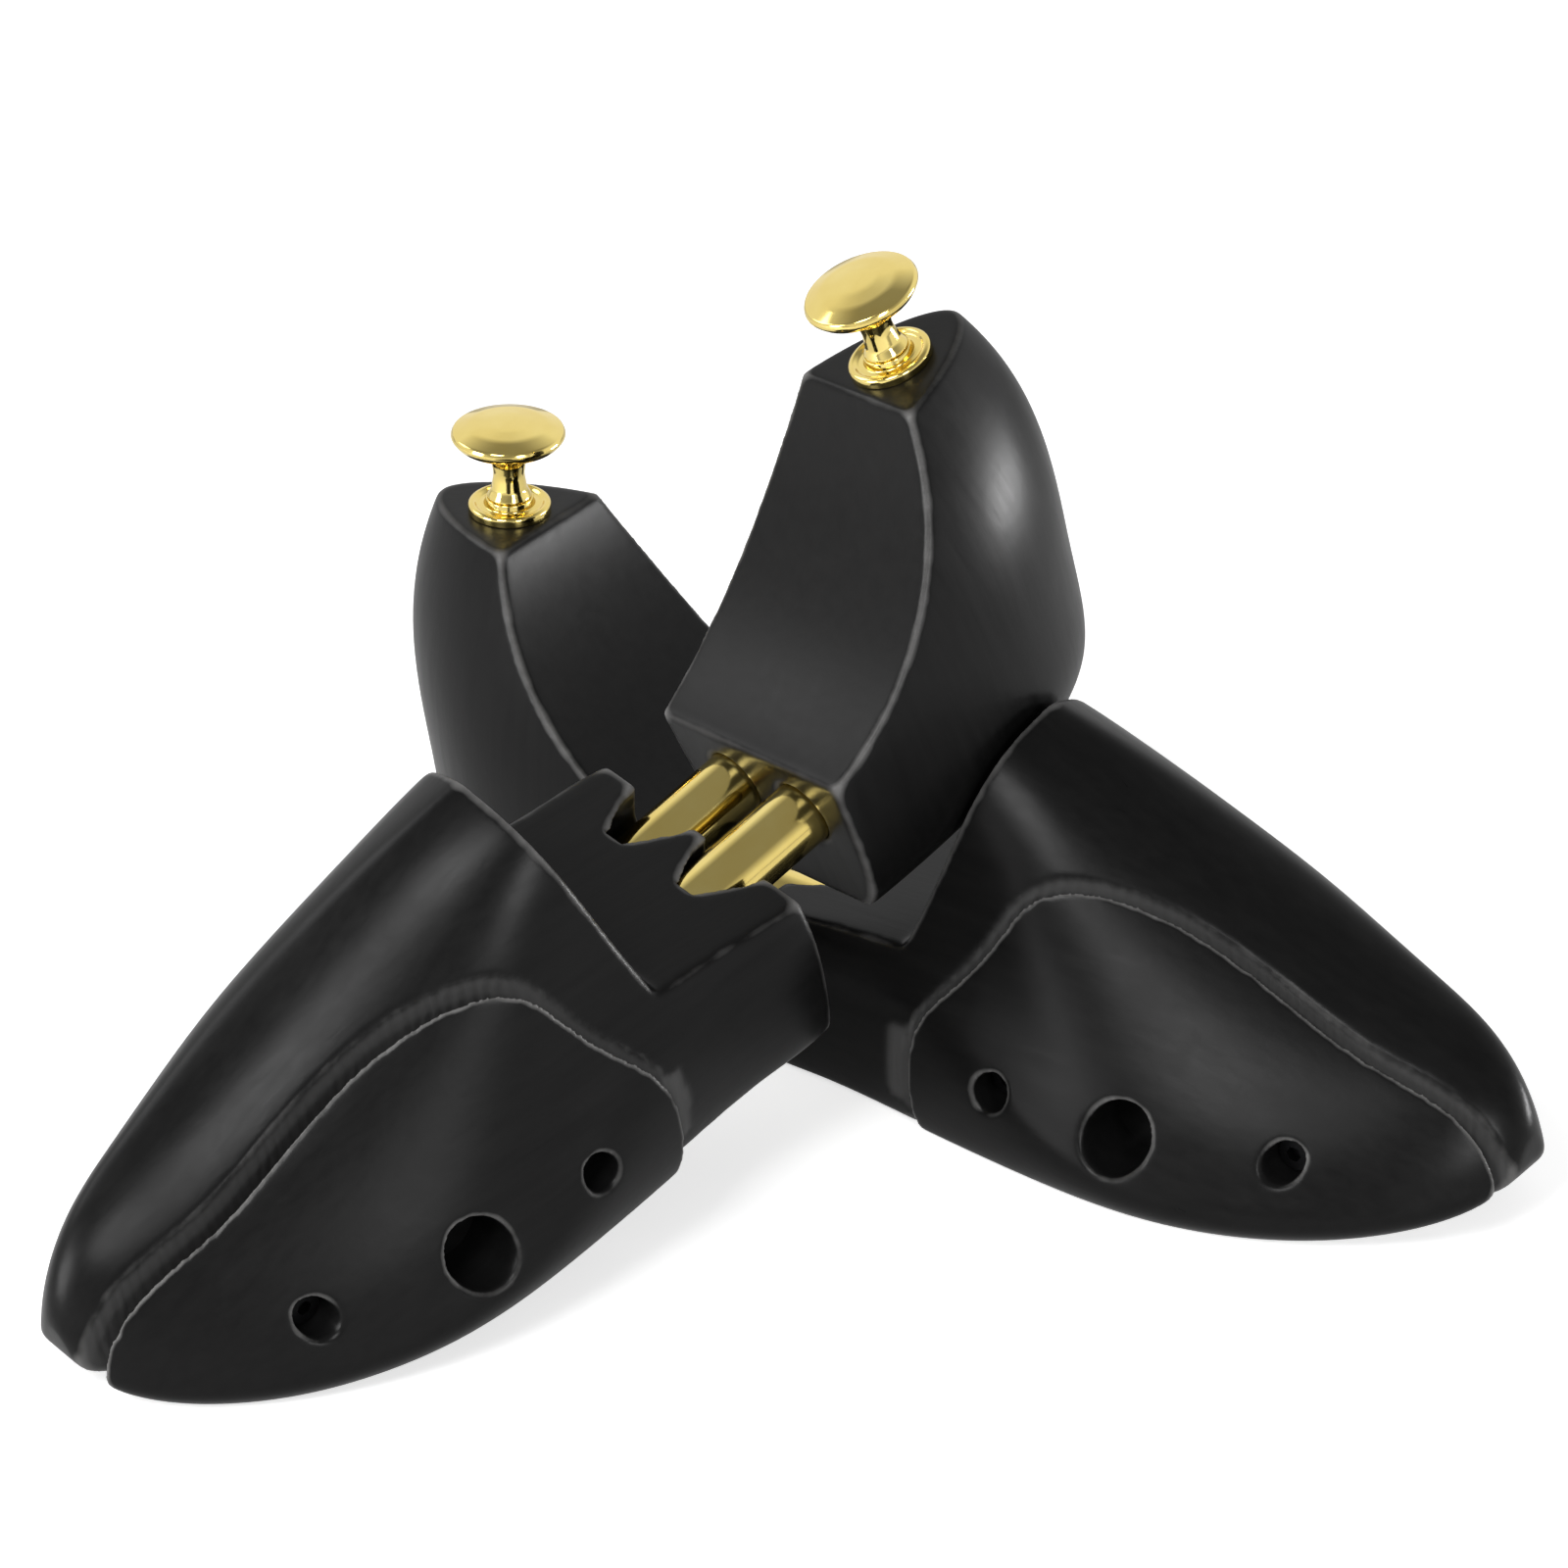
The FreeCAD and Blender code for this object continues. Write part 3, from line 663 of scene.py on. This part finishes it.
def mark_sawn(mesh, facing, upward, other):
    """Writes a mask of the wall that the saw left: upright, and close before the other piece."""
    normals = array_of(mesh.vertex_normals, "vector", 3)
    upright = np.abs(normals @ np.array(upward)) < saw_upright
    towards = normals @ np.array(facing) > saw_facing
    mask = np.zeros(len(mesh.vertices), np.float32)
    near = BVHTree.FromPolygons([point.co for point in other.vertices],
                                [face.vertices for face in other.polygons])
    for index in np.nonzero(upright & towards)[0]:
        if near.find_nearest(mesh.vertices[int(index)].co, saw_reach)[0] is not None:
            mask[index] = 1.0
    pairs = array_of(mesh.edges, "vertices", 2, np.int32)
    write_softened(mesh, "sawn", mask, pairs, saw_fade_rounds)


def sawn_through(mesh, name, facing, forward, upward, other):
    """The mesh with saw marks on the wall that faces the other piece."""
    mark_sawn(mesh, facing, upward, other)
    return worked(bpy.data.objects.new(name, mesh), saw_marks,
                  Forward=forward, Spacing=saw_spacing, Depth=saw_depth)


# The two shoe trees

def build_tree(side):
    """Every piece of one shoe tree."""
    forefoot, wing, heel = side + "_forefoot", side + "_wing", side + "_heel"
    block_node, wing_node, heel_node = forefoot + "_block", side + "_toe_wing", heel + "_block"
    forward, outward, upward = tree_axes(side)
    block_turn = Matrix((forward, upward.cross(forward), upward)).transposed()
    middle = Vector(points_of(block_node).mean(0))
    top, knob_up = knob_axis(side)
    heel_axis = Vector(joint_of(heel + "_slide")["axis"])
    heel_side = knob_up.cross(-heel_axis).normalized()
    heel_turn = Matrix((knob_up, heel_side.cross(knob_up), heel_side)).transposed()
    knob_matrix = axis_matrix(top, knob_up)
    knob_turn, tube_turn = knob_matrix.to_3x3(), axis_matrix(top, heel_axis).to_3x3()

    wood = stained_wood(side + "_forefoot_wood", middle, block_turn, block_line)
    heel_wood = stained_wood(side + "_heel_wood", top, heel_turn, heel_line)
    brass = bare_metal(side + "_knob_brass", top, knob_turn, polished_brass)
    tube_brass = bare_metal(side + "_tube_brass", top, tube_turn, polished_brass)
    steel = bare_metal(side + "_steel", top, knob_turn, drawn_steel)
    # Near-black screws: partly painted shade for their deep holes
    black = bare_metal(side + "_screw_black", middle, block_turn, shade_blackened_steel)

    block = sawn_through(sanded(block_node, block_turn, block_grain), block_node,
                         outward, forward, upward, nodes[wing_node].data)
    mark_edges(block, block_grain)
    shown(side + "_forefoot", block, wood, forefoot, "stained_wood", block_node)
    flap = sawn_through(sanded(wing_node, block_turn, wing_grain), wing_node,
                        -outward, forward, upward, nodes[block_node].data)
    mark_edges(flap, wing_grain)
    shown(side + "_wing", flap, wood, wing, "stained_wood", wing_node)
    back = sanded(heel_node, heel_turn, heel_grain)
    mark_edges(back, heel_grain)
    shown(side + "_heel", back, heel_wood, heel, "stained_wood", heel_node)

    closed_rosette = rosette_outline + rosette_outline[:1]
    turned_piece(side + "_knob_turned", knob_outline, brass, knob_matrix, heel, side + "_knob")
    turned_piece(side + "_rosette_turned", closed_rosette, brass, knob_matrix, heel,
                 side + "_knob_rosette")
    for place in ("outer", "inner"):
        drawn_tube(side + "_tube_" + place, heel_axis, tube_brass, heel)
        wound_spring(heel + "_spring_" + place, heel_axis, upward, heel_spring, steel, heel)
    wound_spring(wing + "_spring", outward, upward, wing_spring, steel, wing)

    plain = {"spring_seat_outer": steel, "spring_seat_inner": steel, "spring_anchor_outer": steel,
             "spring_anchor_inner": steel, "knob_stud": steel, "wing_screw_front": black,
             "wing_screw_rear": black, "wing_spring_plug": wood}
    for node, material in plain.items():
        finish(nodes[side + "_" + node].data, material)


for side in ("right", "left"):
    build_tree(side)


# Floor, light and camera

def light_rays(tree):
    """Whether a ray comes from the camera, and whether it comes from a mirror or through glass."""
    rays = put(tree, "ShaderNodeLightPath").outputs
    mirrored = math_node(tree, "MAXIMUM", rays["Is Glossy Ray"], rays["Is Transmission Ray"])
    return rays["Is Camera Ray"], mirrored


def pale_floor():
    """A matt floor that looks white to the camera and darker in the metal."""
    mesh = bpy.data.meshes.new("floor")
    corners = [(-floor_half, -floor_half, 0), (floor_half, -floor_half, 0),
               (floor_half, floor_half, 0), (-floor_half, floor_half, 0)]
    mesh.from_pydata(corners, [], [(0, 1, 2, 3)])
    floor = bpy.data.objects.new("floor", mesh)
    scene.collection.objects.link(floor)
    floor.location.z = -floor_drop
    material = bpy.data.materials.new("pale_floor")
    material.use_nodes = True
    tree = material.node_tree
    tree.nodes.clear()
    direct, mirrored = light_rays(tree)
    dimmed = math_node(tree, "MULTIPLY", mirrored, floor_mirrored)
    strength = math_node(tree, "MULTIPLY", math_node(tree, "MAXIMUM", direct, dimmed), floor_glow)
    matt = put(tree, "ShaderNodeBsdfDiffuse", {"Color": floor_grey}).outputs[0]
    glow = put(tree, "ShaderNodeEmission", {"Color": white, "Strength": strength}).outputs[0]
    both = put(tree, "ShaderNodeAddShader", {0: matt, 1: glow}).outputs[0]
    put(tree, "ShaderNodeOutputMaterial", {"Surface": both})
    mesh.materials.append(material)


def white_room():
    """Plain white for the camera, a white sweep under a dim room in the metal, and a plain fill."""
    world = bpy.data.worlds.new("studio")
    scene.world = world
    world.use_nodes = True
    tree = world.node_tree
    tree.nodes.clear()
    direct, mirrored = light_rays(tree)
    direction = put(tree, "ShaderNodeTexCoord").outputs["Generated"]
    parts = put(tree, "ShaderNodeSeparateXYZ", {0: direction}).outputs
    lean = math_node(tree, "MULTIPLY", parts["Y"], -sweep_lean)
    height = math_node(tree, "ADD", parts["Z"], lean)
    wall = spread(tree, height, sweep_white_to, sweep_dim_from, 1.0, sweep_dim)
    seen = math_node(tree, "MAXIMUM", direct, math_node(tree, "MULTIPLY", wall, mirrored))
    unseen = math_node(tree, "SUBTRACT", 1.0, math_node(tree, "MAXIMUM", direct, mirrored))
    fill = math_node(tree, "MULTIPLY", unseen, room_fill)
    strength = math_node(tree, "ADD", seen, fill)
    sweep = put(tree, "ShaderNodeBackground", {"Color": white, "Strength": strength}).outputs[0]
    put(tree, "ShaderNodeOutputWorld", {"Surface": sweep})


def placed(name, data, place, turn):
    holder = bpy.data.objects.new(name, data)
    holder.location = place
    holder.rotation_euler = turn
    scene.collection.objects.link(holder)
    return holder


def softbox(name, place, aim, width, height, power):
    lamp = bpy.data.lights.new(name, "AREA")
    lamp.shape = "RECTANGLE"
    lamp.size, lamp.size_y, lamp.energy = width, height, power
    line = Vector(aim) - Vector(place)
    placed(name, lamp, place, line.to_track_quat("-Z", "Y").to_euler())


pale_floor()
white_room()
for name, setting in softboxes.items():
    softbox(name, *setting)

camera = bpy.data.cameras.new("camera")
camera.lens = camera_lens
camera.sensor_width = camera_sensor
camera_turn = (math.radians(camera_tilt_deg), 0, math.radians(camera_turn_deg))
scene.camera = placed("camera", camera, camera_place, camera_turn)
scene.view_settings.view_transform = "Standard"

bpy.context.view_layer.update()
